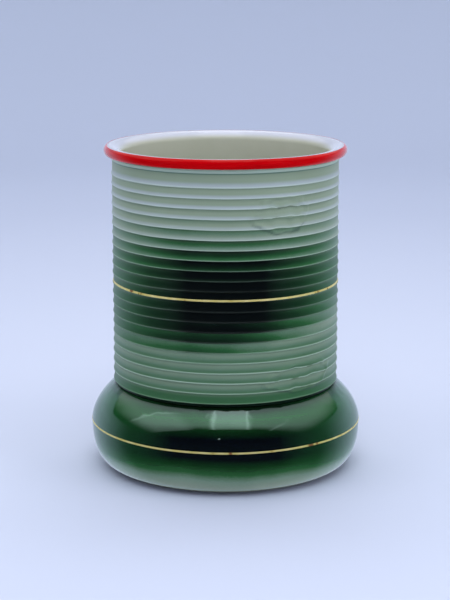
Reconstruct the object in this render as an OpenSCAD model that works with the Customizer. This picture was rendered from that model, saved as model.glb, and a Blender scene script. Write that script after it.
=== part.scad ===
// Ceramic pen holder: a ribbed sleeve luted onto a squashed ring-shaped base, with a rolled rim.
// Origin: centre of the foot ring's underside. +Z is up, and every piece is turned round Z.

/* [Sleeve] */
// Outside diameter over the ribs
sleeve_d = 80; // [64:1:100]
// Height from the base's shoulder to the rim roll
sleeve_h = 80.6; // [60:0.1:110]
// Wall thickness behind the ribs
sleeve_wall = 3; // [2.4:0.1:4.5]
// Height of one rib
rib_pitch = 3.5; // [2.5:0.1:5]
// How far a rib's lip stands out from its root
rib_depth = 0.45; // [0.2:0.05:0.8]
// Height of the small step under each lip
lip_step = 0.4; // [0.2:0.05:0.8]
// Height of the plain groove under the lowest rib
neck_h = 1.4; // [1:0.1:3]
// Depth of that groove behind the lips
neck_depth = 1; // [0.6:0.1:1.3]
// Height of the plain collar under the rim roll
collar_h = 1.2; // [0.6:0.1:2]

/* [Rim] */
// How far the rim roll stands out beyond the lips
rim_overhang = 2.4; // [1.6:0.1:4]
// Half the thickness of the outer bead, measured across
bead_half_w = 1.3; // [0.8:0.1:2]
// Half the height of the outer bead
bead_half_h = 1.7; // [1:0.1:2.6]
// Height of the stem under the bead
rim_stem_h = 0.6; // [0.3:0.1:1.5]
// Drop of the inner rounding from the crest to the bore
rim_inner_drop = 3.2; // [1.6:0.1:3.2]

/* [Base] */
// How far the base's widest line stands out beyond the lips
base_bulge = 8; // [4:0.5:16]
// Height of the widest line above the base's underside
belly_h = 16; // [12:0.5:26]
// Height of the crown curve above the widest line, as far as the curve runs
crown_h = 16.2; // [12:0.2:24]
// How far the crown curve runs in under the sleeve
crown_tuck = 8.7; // [7:0.1:12]
// Roundness of the crown, where 2 is an ellipse
crown_power = 1.66; // [1.4:0.02:2.4]
// Roundness of the belly, where 2 is an ellipse
belly_power = 2.33; // [1.8:0.01:3]
// Wall thickness of the base
base_wall = 3.5; // [2.5:0.1:4.5]
// Thickness of the base's bottom
bottom_t = 4.5; // [3.8:0.1:7]

/* [Floor and foot] */
// Height of the ledge that carries the floor disc
ledge_h = 1.5; // [1.3:0.1:2]
// Width of that ledge
ledge_w = 2; // [1:0.1:4]
// Height of the foot ring below the base
foot_h = 1; // [0.6:0.1:3]
// Width of the foot ring
foot_w = 4; // [3:0.1:6]
// How far the base's flat underside ends inside the sleeve's lips
flat_inset = 1; // [0.5:0.1:4]
// How far the foot ring stands in from the edge of that flat
foot_inset = 1; // [0.5:0.1:2]

/* [Joints] */
// Wall of the spigot that enters the base's neck
spigot_wall = 1.5; // [1:0.1:1.8]
// Width of the tongues on the sleeve's top and on the foot ring
tongue_w = 1.2; // [0.8:0.1:1.6]
// Height of those tongues
tongue_h = 0.8; // [0.4:0.1:0.9]
// Gap that the liquid clay fills in each joint
slip_gap = 0.05; // [0.02:0.01:0.1]

/* [Coats] */
// Thickness of the white glaze inside
liner_t = 0.3; // [0.15:0.05:0.6]
// Thickness of the red enamel on the rim
enamel_t = 0.1; // [0.05:0.05:0.3]
// Upper edge of the enamel, as an angle round the bead
enamel_top = 80; // [60:5:85]
// Lower edge of the enamel, as an angle round the bead
enamel_bottom = -80; // [-85:5:-40]
// Width of the gold lines
gold_w = 0.7; // [0.4:0.1:1.5]
// Thickness of the gold lines
gold_t = 0.05; // [0.05:0.05:0.2]
// Rib that carries the upper gold line, counted from the base
gold_rib = 11; // [2:1:14]
// Distance from that rib's lip up to the middle of the gold line
gold_rise = 0.6; // [0.5:0.1:1]

/* [Hidden] */

turn_fn = 180;          // facets of a full turn on screen
curve_step = 5;         // degrees between the points of a curve
bead_step = 10;         // degrees between the points of the bead

lip_r = sleeve_d / 2;
root_r = lip_r - rib_depth;
neck_r = lip_r - neck_depth;
bore_r = root_r - sleeve_wall;
spigot_r = bore_r + spigot_wall;

belly_r = lip_r + base_bulge;
crown_r = lip_r - crown_tuck;
flat_r = lip_r - flat_inset;
belly_z = foot_h + belly_h;
inner_r = belly_r - base_wall;
inner_flat_r = flat_r - base_wall;
bottom_z = foot_h + bottom_t;

// Angle at which the crown curve passes a radius: 0 is its top and 90 its widest line.
function crown_angle(r, widest) = asin(pow((r - crown_r) / (widest - crown_r), crown_power / 2));
// Angle at which a curve stands a height off its widest line.
function crown_angle_at(rise, full) = acos(pow(rise / full, crown_power / 2));
function belly_angle_at(drop, full) = asin(pow(drop / full, belly_power / 2));

function crown_point(a, widest, rise) =
    [crown_r + (widest - crown_r) * pow(sin(a), 2 / crown_power),
     belly_z + rise * pow(cos(a), 2 / crown_power)];
function belly_point(a, widest, flat, drop) =
    [flat + (widest - flat) * pow(cos(a), 2 / belly_power),
     belly_z - drop * pow(sin(a), 2 / belly_power)];

// Angles from one to the other in even steps, with both ends kept exactly.
function angles(from, to, step = curve_step) =
    let (count = ceil(abs(to - from) / step))
    [for (i = [0 : count]) from + (to - from) * i / count];
function crown_curve(from, to, widest, rise) =
    [for (a = angles(from, to)) crown_point(a, widest, rise)];
function belly_curve(from, to, widest, flat, drop) =
    [for (a = angles(from, to)) belly_point(a, widest, flat, drop)];
// The same list without its first point, which the stretch before it already holds.
function rest(points) = [for (i = [1 : len(points) - 1]) points[i]];

// The base's shoulder, where the sleeve stands, and the inner mouth of its neck.
shoulder_a = crown_angle(neck_r, belly_r);
shoulder_z = crown_point(shoulder_a, belly_r, crown_h)[1];
mouth_a = crown_angle(spigot_r + slip_gap, inner_r);
mouth_z = crown_point(mouth_a, inner_r, crown_h - base_wall)[1];

// The gold line at the widest line lies on one straight facet of the base.
band_top_a = crown_angle_at(gold_w / 2, crown_h);
band_low_a = belly_angle_at(gold_w / 2, belly_h);
band_top = crown_point(band_top_a, belly_r, crown_h);
band_low = belly_point(band_low_a, belly_r, flat_r, belly_h);

sleeve_top = shoulder_z + sleeve_h;
rib_count = 1 + floor((sleeve_h - neck_h - collar_h - rib_pitch) / rib_pitch);
first_lip_z = shoulder_z + neck_h;
flank_h = rib_pitch - lip_step;
tongue_mid = (bore_r + root_r) / 2;

bead_r = lip_r + rim_overhang - bead_half_w;
bead_z = sleeve_top + rim_stem_h + bead_half_h;
crest_z = bead_z + bead_half_h;
collar_r = min(lip_r, bead_r);
rim_bore_z = crest_z - rim_inner_drop;

foot_r = flat_r - foot_inset;
foot_in_r = foot_r - foot_w;
foot_mid = foot_r - foot_w / 2;
floor_r = foot_in_r - slip_gap;
floor_z = foot_h + ledge_h;
ledge_r = floor_r - ledge_w;

// Points round the bead, on its clay or that far outside it.
function bead_curve(from, to, grow = 0) =
    [for (a = angles(from, to, bead_step))
        [bead_r + (bead_half_w + grow) * cos(a), bead_z + (bead_half_h + grow) * sin(a)]];
// Points of the rim's inner rounding, where 90 is the crest and 180 the bore.
function rim_inside(from, to, grow = 0) =
    [for (a = angles(from, to))
        [bead_r + (bead_r - bore_r + grow) * cos(a), rim_bore_z + rim_inner_drop * sin(a)]];

module turned() {
    rotate_extrude($fn = turn_fn) children();
}

// Section of a tongue, or of its groove, which is wider by the slip gap all round.
module tongue_section(middle, z, grow) {
    translate([middle - tongue_w / 2 - grow, z]) square([tongue_w + 2 * grow, tongue_h + grow]);
}

// Wall with sawtooth ribs: each one flares down to a lip, then steps back in.
module ribbed_sleeve() {
    collar_z = sleeve_top - collar_h;
    flanks = [for (i = [0 : rib_count - 1])
        let (z = first_lip_z + i * rib_pitch)
        [[lip_r, z], [root_r, i < rib_count - 1 ? z + flank_h : collar_z]]];
    color("#7FA393") turned() {
        polygon(concat(
            [[bore_r, mouth_z], [spigot_r, mouth_z], [spigot_r, shoulder_z],
             [neck_r, shoulder_z], [neck_r, first_lip_z - lip_step]],
            [for (flank = flanks) each flank],
            [[collar_r, collar_z + lip_step], [collar_r, sleeve_top], [bore_r, sleeve_top]]));
        tongue_section(tongue_mid, sleeve_top, 0);
    }
}

// Rolled lip: an outer bead, a crest and a rounding down to the bore.
module rim_roll() {
    color("#E9ECE6") turned() difference() {
        polygon(concat(
            [[bore_r, sleeve_top], [collar_r, sleeve_top], [collar_r, bead_z - bead_half_h]],
            bead_curve(-90, enamel_bottom),
            rest(bead_curve(enamel_bottom, enamel_top)),
            rest(bead_curve(enamel_top, 90)),
            rest(rim_inside(90, 180))));
        tongue_section(tongue_mid, sleeve_top, slip_gap);
    }
}

// Red band fired onto the outer half of the bead.
module rim_enamel() {
    color("#C4060F") turned() polygon(concat(
        bead_curve(enamel_bottom, enamel_top, enamel_t), bead_curve(enamel_top, enamel_bottom)));
}

// Hollow ring-shaped base with a neck for the sleeve's spigot and a ledge for the floor.
module base_bulb() {
    color("#2F5A3D") turned() difference() {
        polygon(concat(
            [[spigot_r + slip_gap, shoulder_z]],
            crown_curve(shoulder_a, band_top_a, belly_r, crown_h),
            belly_curve(band_low_a, 90, belly_r, flat_r, belly_h),
            [[ledge_r, foot_h], [ledge_r, floor_z], [floor_r + slip_gap, floor_z],
             [floor_r + slip_gap, bottom_z]],
            belly_curve(90, 0, inner_r, inner_flat_r, belly_z - bottom_z),
            rest(crown_curve(90, mouth_a, inner_r, crown_h - base_wall))));
        tongue_section(foot_mid, foot_h, slip_gap);
    }
}

// Disc that closes the bottom.
module base_floor() {
    color("#DDE0D8") translate([0, 0, floor_z])
        cylinder(h = bottom_z - floor_z, r = floor_r, $fn = turn_fn);
}

// Unglazed ring that the holder stands on, set back under the base.
module foot_ring() {
    color("#D8CDB8") turned() {
        translate([foot_in_r, 0]) square([foot_w, foot_h]);
        tongue_section(foot_mid, foot_h, 0);
    }
}

// Gold line on the flank of one rib.
module upper_gold_line() {
    lip_z = first_lip_z + (gold_rib - 1) * rib_pitch;
    edges = [for (up = [gold_rise - gold_w / 2, gold_rise + gold_w / 2])
        [lip_r - rib_depth * up / flank_h, lip_z + up]];
    color("#C9BE7C") turned()
        polygon([edges[0], edges[0] + [gold_t, 0], edges[1] + [gold_t, 0], edges[1]]);
}

// Gold line round the widest part of the base.
module lower_gold_line() {
    color("#C9BE7C") turned()
        polygon([band_low, band_low + [gold_t, 0], band_top + [gold_t, 0], band_top]);
}

// White glaze over the whole inside, from the crest of the rim to the middle of the floor.
module liner_glaze() {
    face_r = inner_r - liner_t;
    face_rise = crown_h - base_wall - liner_t;
    color("#EEF0EA") turned() polygon(concat(
        rim_inside(90, 180, liner_t),
        [[bore_r - liner_t, mouth_z - liner_t]],
        crown_curve(crown_angle(spigot_r, face_r), 90, face_r, face_rise),
        rest(belly_curve(0, 90, face_r, inner_flat_r, belly_z - bottom_z - liner_t)),
        [[0, bottom_z + liner_t], [0, bottom_z]],
        belly_curve(90, 0, inner_r, inner_flat_r, belly_z - bottom_z),
        rest(crown_curve(90, mouth_a, inner_r, crown_h - base_wall)),
        [[bore_r, mouth_z]],
        rim_inside(180, 90 + curve_step)));
}

ribbed_sleeve();
rim_roll();
rim_enamel();
base_bulb();
base_floor();
foot_ring();
upper_gold_line();
lower_gold_line();
liner_glaze();
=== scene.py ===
import math

import bpy
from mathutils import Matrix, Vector, noise


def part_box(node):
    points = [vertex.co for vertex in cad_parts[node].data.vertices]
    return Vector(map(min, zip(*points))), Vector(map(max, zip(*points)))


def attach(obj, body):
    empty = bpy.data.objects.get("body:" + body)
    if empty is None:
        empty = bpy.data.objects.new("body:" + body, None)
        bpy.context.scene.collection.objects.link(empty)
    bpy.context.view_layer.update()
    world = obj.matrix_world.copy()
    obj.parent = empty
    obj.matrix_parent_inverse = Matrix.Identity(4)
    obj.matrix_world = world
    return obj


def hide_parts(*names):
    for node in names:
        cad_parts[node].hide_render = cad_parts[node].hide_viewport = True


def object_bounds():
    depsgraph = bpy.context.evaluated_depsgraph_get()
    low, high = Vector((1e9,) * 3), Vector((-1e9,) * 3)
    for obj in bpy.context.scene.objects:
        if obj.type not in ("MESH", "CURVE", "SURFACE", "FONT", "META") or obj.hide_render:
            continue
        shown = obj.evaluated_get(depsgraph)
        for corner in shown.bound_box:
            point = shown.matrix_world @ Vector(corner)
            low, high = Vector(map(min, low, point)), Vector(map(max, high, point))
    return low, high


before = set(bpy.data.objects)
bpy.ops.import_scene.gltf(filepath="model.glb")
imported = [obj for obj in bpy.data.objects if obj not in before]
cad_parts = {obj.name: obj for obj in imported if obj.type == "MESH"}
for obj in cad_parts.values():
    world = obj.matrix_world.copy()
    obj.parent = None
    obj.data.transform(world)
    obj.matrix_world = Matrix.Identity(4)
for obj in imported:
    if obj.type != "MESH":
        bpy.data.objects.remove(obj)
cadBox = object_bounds()
mm = 0.001


def linear(hexColour):
    # sRGB hex to the linear values that sockets hold
    channels = [int(hexColour[i:i + 2], 16) / 255 for i in (1, 3, 5)]
    return tuple(c / 12.92 if c <= 0.04045 else ((c + 0.055) / 1.055) ** 2.4 for c in channels) + (1,)


def addNode(tree, kind, links=None, **settings):
    # one node with its settings; links maps a socket to a value, a socket, or a node's first output
    node = tree.nodes.new(kind if "Node" in kind else "ShaderNode" + kind)
    for name, value in settings.items():
        setattr(node, name, value)
    for key, source in (links or {}).items():
        socket = node.inputs[key]
        if isinstance(source, bpy.types.Node):
            source = source.outputs[0]
        if isinstance(source, bpy.types.NodeSocket):
            tree.links.new(source, socket)
        else:
            socket.default_value = source
    return node


def newTree(name, inputs):
    # a Geometry Nodes tree with named inputs
    tree = bpy.data.node_groups.new(name, "GeometryNodeTree")
    tree.interface.new_socket("Geometry", in_out="INPUT", socket_type="NodeSocketGeometry")
    for label, kind in inputs.items():
        tree.interface.new_socket(label, in_out="INPUT", socket_type="NodeSocket" + kind)
    tree.interface.new_socket("Geometry", in_out="OUTPUT", socket_type="NodeSocketGeometry")
    return tree, tree.nodes.new("NodeGroupInput").outputs


def bendableGrid(tree, segments, rows):
    # a unit grid to bend round the axis: segments along X, rows along Y, and each point's bearing
    columns = addNode(tree, "Math", {0: segments, 1: 1.0}, operation="ADD")
    lines = addNode(tree, "Math", {0: rows, 1: 1.0}, operation="ADD")
    grid = addNode(tree, "GeometryNodeMeshGrid", {"Size X": 1.0, "Size Y": 1.0, "Vertices X": columns,
        "Vertices Y": lines}).outputs["Mesh"]
    flat = addNode(tree, "SeparateXYZ", {0: addNode(tree, "GeometryNodeInputPosition")})
    angle = addNode(tree, "Math", {0: flat.outputs["X"], 1: 2 * math.pi}, operation="MULTIPLY")
    east = addNode(tree, "Math", {0: angle}, operation="SINE")
    north = addNode(tree, "Math", {0: angle}, operation="COSINE")
    return grid, flat.outputs["Y"], angle, east, north


def bendRound(tree, grid, east, north, radius, height):
    # puts each point of the grid at its radius and height
    x = addNode(tree, "Math", {0: east, 1: radius}, operation="MULTIPLY")
    y = addNode(tree, "Math", {0: north, 1: radius}, operation="MULTIPLY")
    spot = addNode(tree, "CombineXYZ", {"X": x, "Y": y, "Z": height})
    return addNode(tree, "GeometryNodeSetPosition", {"Geometry": grid, "Position": spot})


def overAndUnder(tree, across):
    # once across the top of a coat and back along its underside
    loop = addNode(tree, "Math", {0: across, 1: 2 * math.pi}, operation="MULTIPLY")
    return [addNode(tree, "Math", {0: loop}, operation=kind) for kind in ("SINE", "COSINE")]


def closeTree(tree, geometry, material, weld=1e-6):
    # every tree ends in one welded, smooth, real mesh with its material; weld is in metres
    closed = addNode(tree, "GeometryNodeMergeByDistance", {"Geometry": geometry, "Distance": weld})
    smooth = addNode(tree, "GeometryNodeSetShadeSmooth", {"Geometry": closed})
    real = addNode(tree, "GeometryNodeRealizeInstances", {"Geometry": smooth})
    painted = addNode(tree, "GeometryNodeSetMaterial", {"Geometry": real, "Material": material})
    addNode(tree, "NodeGroupOutput", {"Geometry": painted})


def grow(name, tree, values, start=None):
    # runs a tree on a start mesh and keeps the result as a plain mesh
    base = start or bpy.data.meshes.new(name + "Start")
    piece = bpy.data.objects.new(name, base)
    bpy.context.scene.collection.objects.link(piece)
    modifier = piece.modifiers.new("build", "NODES")
    modifier.node_group = tree
    for item in tree.interface.items_tree:
        if item.in_out == "INPUT" and item.name in values:
            modifier[item.identifier] = values[item.name]
    piece.update_tag()
    graph = bpy.context.evaluated_depsgraph_get()
    mesh = bpy.data.meshes.new_from_object(piece.evaluated_get(graph), depsgraph=graph)
    piece.modifiers.clear()
    piece.data = mesh
    mesh.name = name
    pointOutwards(mesh)
    return piece


def pointOutwards(mesh):
    # a closed mesh whose faces point in has a negative volume
    volume = 0
    for face in mesh.polygons:
        a = mesh.vertices[face.vertices[0]].co
        for i in range(1, len(face.vertices) - 1):
            b = mesh.vertices[face.vertices[i]].co
            c = mesh.vertices[face.vertices[i + 1]].co
            volume += a.dot(b.cross(c))
    if volume < 0:
        mesh.flip_normals()


def place(piece, node):
    settle(piece.data)
    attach(piece, "root")
    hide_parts(node)
    print("made", piece.name, len(piece.data.polygons), "faces")


warp = {
    "sideways": 0.22,     # mm, only ever inwards
    "sag": 0.30,          # mm, only ever down
    "reach": 34.0,        # mm from one swell to the next
    "footKeep": 3.0,      # mm above the table before it starts
    "easeIn": 12.0,       # mm from there to its full size
    "squash": 1.6,        # how much shorter a swell is than it is wide
}


def settle(mesh):
    # clay slumps a little as it dries and fires, so the whole cup leans and sags out of true
    top = cadBox[1].z
    for vertex in mesh.vertices:
        x, y, z = vertex.co
        free = min(1, max(0, (z / mm - warp["footKeep"]) / warp["easeIn"]))
        spot = Vector((x, y, z * warp["squash"])) / (warp["reach"] * mm)
        swell = 0.5 + 0.5 * noise.noise(spot)
        fall = 0.5 + 0.5 * noise.noise(spot * 1.3 + Vector((7, 3, 5)))
        radius = math.hypot(x, y)
        if radius > 1e-6:
            shrink = 1 - warp["sideways"] * mm * swell * free * min(1, radius / 0.03) / radius
            vertex.co.x, vertex.co.y = x * shrink, y * shrink
        vertex.co.z = z - warp["sag"] * mm * fall * free * z / top


def newMaterial(name, constants, kind="BsdfPrincipled"):
    # a material with one shader, and the constants straight in its sockets
    material = bpy.data.materials.new(name)
    material.use_nodes = True
    tree = material.node_tree
    tree.nodes.clear()
    shader = addNode(tree, kind, constants)
    addNode(tree, "OutputMaterial", {"Surface": shader})
    return material, tree, shader


def setStops(ramp, stops, interpolation="B_SPLINE"):
    elements = ramp.color_ramp.elements
    ramp.color_ramp.interpolation = interpolation
    while len(elements) < len(stops):
        elements.new(1)
    for element, (position, hexColour) in zip(elements, stops):
        element.position = position
        element.color = linear(hexColour)


def layCoats(tree, colour, coats):
    # coats of colour over each other, each as strong as all its factors together
    for hexColour, share, *factors in coats:
        for factor in factors:
            share = addNode(tree, "Math", {0: share, 1: factor}, operation="MULTIPLY")
        colour = addNode(tree, "Mix", {0: share, 6: colour, 7: linear(hexColour)},
            data_type="RGBA").outputs[2]
    return colour


sleevePaint = {
    "bandHeight": 67.0,          # mm, middle of the sprayed band
    "lean": 0.127,               # the lower fade climbs to the right
    "bow": 0.10,                 # and towards both sides
    "shelterAbove": 12.5,        # mm that a lip shifts the fade, as it shades what lies behind it
    "shelterBelow": 7.0,
    "shelterMiddle": 0.55,       # place in a rib where it shifts nothing
    "drift": 30.0, "driftReach": 6.0,        # mm from one cloud of spray to the next, and its reach
    "droplet": 0.6, "dropletReach": 1.2,     # the same for sprayed droplets
    "ledge": 0.27,               # paint that collects on the ledges below the band
    "haze": 0.16,                # the fine mist that settled over all of that part
    "faintShadeRings": 51.0,           # mm, the middle of the rings where the painted crease shade is faintest
    "collar": 109.75,            # mm, the line under the collar
    "peel": 0.9, "peelDepth": 0.02, "peelStrength": 0.6,
    "gloss": (0.34, 0.50),       # roughness where the glaze is thick and thin
    "ior": 1.7, "sheen": "#D5F2E6",
    "spray": [(0, "#88977F"), (0.3, "#5C7A60"), (0.55, "#225A2B"), (0.78, "#0B3215"), (1, "#05080B")],
    # painted bluish highlight over the lips high on the wall
    "paintedLipSheen": "#A0ABAC",
    # painted shade in the crease under each lip
    "paintedCreaseShade": "#66785F",
    # painted shade under the ridge that a thumb pushed up
    "paintedRidgeShade": "#44584A",       # under the ridge that a thumb pushed up
    # painted shade in the groove over the shoulder
    "groove": "#0C2013",
    # painted shade in the line under the collar
    "paintedCollarShade": "#54705F",
    # thinner glaze over each lip, with a painted highlight
    "lip": "#BFD0C2",
    # what each fade follows, where it starts and ends in mm or shares of a rib, its values there
    "fades": {
        "bandAbove": ("above", 29.0, 9.0, 0, 1, "SMOOTHSTEP"),
        "bandBelow": ("below", -24.5, -9.0, 0, 1, "SMOOTHSTEP"),
        # painted side light: the band lighter towards both sides, where the side lamps fall
        "paintedLitSides": ("aside", 13.0, 39.0, 1, 0.54, "LINEAR"),
        "overspray": ("height", 38.5, 33.5, 0, 0.5, "SMOOTHSTEP"),
        "lowDown": ("off", -8.0, -16.0, 0, 1, "LINEAR"),
        "nearLip": ("phase", 0.80, 0.10, 0, 1, "SMOOTHSTEP"),
        # where the painted highlight over the lips lies
        "sheenOverLip": ("phase", 0.46, 0.12, 0, 1, "SMOOTHSTEP"),
        "sheenHighUp": ("off", 14.0, 31.0, 0, 1, "LINEAR"),
        # where the painted crease shade lies, and how strong it is at each height
        "inCrease": ("phase", 0.55, 0.92, 0, 1, "SMOOTHSTEP"),
        "creaseShadeByHeight": ("faintShadeRings", 8.0, 16.0, 0.1, 0.6, "LINEAR"),
        "creaseShadeHighUp": ("height", 98.0, 104.0, 1, 0.4, "LINEAR"),
        "inGroove": ("height", 31.9, 31.4, 0, 1, "SMOOTHSTEP"),
        "collarLine": ("collar", 0.32, 0.16, 0, 0.85, "LINEAR"),
        "atLip": ("phase", 0.13, 0.03, 0, 1, "SMOOTHSTEP"),
        "underLip": ("phase", 0.96, 0.99, 0, 1, "LINEAR"),
        "lowestLip": ("height", 33.0, 37.0, 0.12, 0.5, "LINEAR"),
    },
}


def makeSleeveGlaze():
    # celadon glaze with airbrushed copper green: pale and satiny, near black in the sprayed band,
    # paler where it ran thin over each lip, with a painted highlight there, and painted shade in the crease
    # below
    p = sleevePaint
    material, tree, shader = newMaterial("celadonWithSprayedGreen", {
        "IOR": p["ior"], "Specular Tint": linear(p["sheen"])})
    spot = addNode(tree, "TexCoord").outputs["Object"]
    where = addNode(tree, "SeparateXYZ", {0: spot})
    height = where.outputs["Z"]
    phase, thumbed, ridgeShadeMask = [addNode(tree, "Attribute", attribute_name=label).outputs["Fac"]
                              for label in ("ribPhase", "thumbed", "thumbEdge")]
    off = addNode(tree, "Math", {0: height, 1: p["bandHeight"] * mm}, operation="SUBTRACT")
    aside = addNode(tree, "Math", {0: where.outputs["X"]}, operation="ABSOLUTE")
    bow = addNode(tree, "Math", {0: aside, 1: p["bow"]}, operation="MULTIPLY")
    lean = addNode(tree, "Math", {0: where.outputs["X"], 1: p["lean"], 2: bow}, operation="MULTIPLY_ADD")

    # the spray came level: it missed the top of each flank below the band and the foot of it above
    inRib = addNode(tree, "Math", {0: phase, 1: p["shelterMiddle"]}, operation="SUBTRACT")
    above = addNode(tree, "Math", {0: inRib, 1: -p["shelterAbove"] * mm, 2: off},
        operation="MULTIPLY_ADD")
    below = addNode(tree, "Math", {0: inRib, 1: -p["shelterBelow"] * mm, 2: off},
        operation="MULTIPLY_ADD")
    below = addNode(tree, "Math", {0: below, 1: lean}, operation="SUBTRACT")
    drift = addNode(tree, "TexNoise", {"Vector": spot, "Scale": 1 / (p["drift"] * mm), "Detail": 4.0})
    droplets = addNode(tree, "TexNoise", {"Vector": spot, "Scale": 1 / (p["droplet"] * mm),
        "Detail": 1.0})
    ragged = addNode(tree, "Math", {0: drift.outputs["Fac"], 1: p["driftReach"] * mm},
        operation="MULTIPLY")
    ragged = addNode(tree, "Math", {0: droplets.outputs["Fac"], 1: p["dropletReach"] * mm, 2: ragged},
        operation="MULTIPLY_ADD")
    halfReach = (p["driftReach"] + p["dropletReach"]) / 2
    ragged = addNode(tree, "Math", {0: ragged, 1: halfReach * mm}, operation="SUBTRACT")
    above = addNode(tree, "Math", {0: above, 1: ragged}, operation="ADD")
    below = addNode(tree, "Math", {0: below, 1: ragged}, operation="SUBTRACT")

    follows = {"above": above, "below": below, "aside": aside, "height": height, "off": off, "phase": phase}
    for label in ("faintShadeRings", "collar"):
        apart = addNode(tree, "Math", {0: height, 1: p[label] * mm}, operation="SUBTRACT")
        follows[label] = addNode(tree, "Math", {0: apart}, operation="ABSOLUTE")
    fades = {}
    for name, (source, start, end, low, high, shape) in p["fades"].items():
        unit = 1 if source == "phase" else mm
        fades[name] = addNode(tree, "MapRange", {"Value": follows[source], "From Min": start * unit,
            "From Max": end * unit, "To Min": low, "To Max": high}, interpolation_type=shape)

    band = addNode(tree, "Math", {0: fades["bandAbove"], 1: fades["bandBelow"]}, operation="MULTIPLY")
    # painted side light: the band thins towards both sides
    band = addNode(tree, "Math", {0: band, 1: fades["paintedLitSides"]}, operation="MULTIPLY")
    dense = addNode(tree, "Math", {0: band, 1: fades["overspray"]}, operation="MAXIMUM")
    # paint lies thicker on the ledge over each lip, low down on the wall
    ledge = addNode(tree, "Math", {0: fades["nearLip"], 1: p["ledge"], 2: p["haze"]},
        operation="MULTIPLY_ADD")
    ledge = addNode(tree, "Math", {0: ledge, 1: fades["lowDown"]}, operation="MULTIPLY")
    dense = addNode(tree, "Math", {0: dense, 1: ledge}, operation="MAXIMUM")
    ramp = addNode(tree, "ValToRGB", {"Fac": dense})
    setStops(ramp, p["spray"], "LINEAR")

    whole = addNode(tree, "Math", {0: 1.0, 1: thumbed}, operation="SUBTRACT")
    thin = addNode(tree, "Math", {0: 1.0, 1: dense}, operation="SUBTRACT")
    lip = addNode(tree, "Math", {0: fades["atLip"], 1: fades["underLip"]}, operation="MAXIMUM")
    bare = addNode(tree, "Math", {0: 1.02, 1: band}, operation="SUBTRACT")
    colour = layCoats(tree, ramp.outputs["Color"], [
        # high on the wall a painted bluish highlight lies over the lips
        (p["paintedLipSheen"], fades["sheenOverLip"], fades["sheenHighUp"], whole, thin),
        # painted shade under each lip: a thin dark line, black in the groove over the shoulder
        (p["paintedCreaseShade"], fades["inCrease"], fades["creaseShadeByHeight"], fades["creaseShadeHighUp"], thin),
        # painted shade under the thumbed ridge
        (p["paintedRidgeShade"], ridgeShadeMask),
        (p["groove"], fades["inGroove"]),
        # painted shade in the line under the collar
        (p["paintedCollarShade"], fades["collarLine"]),
        # each lip sheds its glaze, and carries a painted highlight: a pale line, dim where the spray is heavy
        (p["lip"], lip, bare, fades["lowestLip"])])
    tree.links.new(colour, shader.inputs["Base Color"])

    # fine orange peel, and a gloss that varies as the glaze thins
    peel = addNode(tree, "TexNoise", {"Vector": spot, "Scale": 1 / (p["peel"] * mm), "Detail": 2.0})
    bump = addNode(tree, "Bump", {"Height": peel.outputs["Fac"], "Distance": p["peelDepth"] * mm,
        "Strength": p["peelStrength"]})
    tree.links.new(bump.outputs["Normal"], shader.inputs["Normal"])
    gloss = addNode(tree, "MapRange", {"Value": drift.outputs["Fac"], "To Min": p["gloss"][0],
        "To Max": p["gloss"][1]})
    tree.links.new(gloss.outputs["Result"], shader.inputs["Roughness"])
    return material


basePaint = {
    "drift": 24.0, "driftReach": 3.0, "droplet": 0.45, "dropletReach": 1.2,      # mm
    # shares of the way from the underside to the shoulder
    "spray": [(0.08, "#A8B39C"), (0.20, "#7D957F"), (0.285, "#306036"), (0.37, "#113717"),
              (0.45, "#060B0E"), (0.66, "#05080D"), (0.75, "#0C2C12"), (0.84, "#205528"),
              (0.885, "#174521"), (0.91, "#07180B")],
    # painted side light: the green laid over both sides
    "thin": "#21552D",
    # painted contact shade along the lower edge
    "bead": "#10150F",
    "pimple": (-2.1, -46.6, 21.3),    # mm, one pimple in the glaze above the gold line
    "peel": 5.0, "peelDepth": 0.25,   # mm
    "roughness": 0.07, "ior": 2.1, "sheen": "#D2F5E8",
    # what each fade follows, where it starts and ends in mm, its values there
    "fades": {
        "climb": ("moved", 2.1, 34.1, 0, 1, "LINEAR"),
        # painted side light towards both sides
        "paintedLitSides": ("aside", 18.0, 46.0, 0, 0.75, "LINEAR"),
        "overFoot": ("height", 7.0, 11.0, 0, 1, "LINEAR"),
        # where the painted contact shade lies
        "edge": ("height", 2.2, 1.3, 0, 1, "SMOOTHSTEP"),
        "rounded": ("outwards", 38.4, 38.9, 0, 1, "LINEAR"),
        "pimple": ("fromPimple", 0.7, 0.0, 0, 1, "SMOOTHSTEP"),
        "waves": ("height", 25.5, 28.5, 0.12, 0.8, "SMOOTHSTEP"),
        "shadeUnderSleeve": ("height", 30.0, 29.2, 0.04, 0.5, "LINEAR"),
    },
}


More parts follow.
